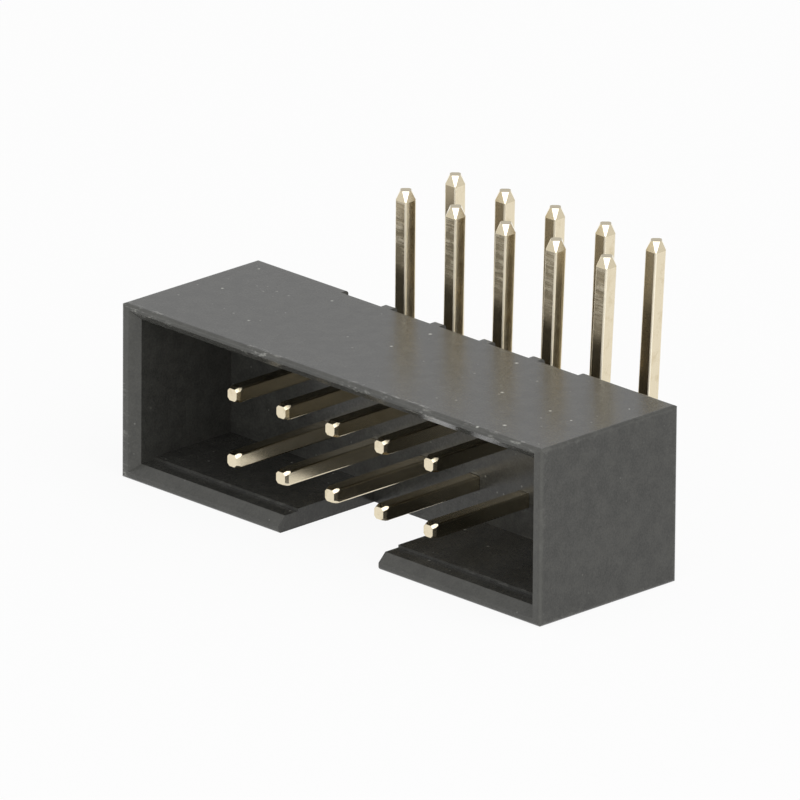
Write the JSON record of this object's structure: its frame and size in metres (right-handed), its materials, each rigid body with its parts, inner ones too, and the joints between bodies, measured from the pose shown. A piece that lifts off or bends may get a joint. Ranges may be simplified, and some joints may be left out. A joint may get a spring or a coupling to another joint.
{
  "type": "right-angle box header",
  "caption": "Right-angle shrouded pin header for a ribbon-cable plug: keyed black plastic box around rows of square gold-plated contacts whose solder tails bend up to the board.",
  "frame": {"origin": "under the middle of the part's box, on the surface that the keyed wall lies on", "axes": "+X along the contact rows, -Y out of the mouth, +Z towards the board face and the solder tails"},
  "size_m": [0.0218, 0.0118, 0.0105],
  "materials": {
    "housing_plastic": "black moulded plastic with a fine satin grain, paler scuffs along the edges",
    "contact_plating": "bright pale gold plating with fine drawing lines and tool marks"
  },
  "bodies": {
    "root": {"housing": "housing_plastic", "pin_1": "contact_plating", "pin_2": "contact_plating", "pin_3": "contact_plating", "pin_4": "contact_plating", "pin_5": "contact_plating", "pin_6": "contact_plating", "pin_7": "contact_plating", "pin_8": "contact_plating", "pin_9": "contact_plating", "pin_10": "contact_plating"}
  },
  "joints": []
}
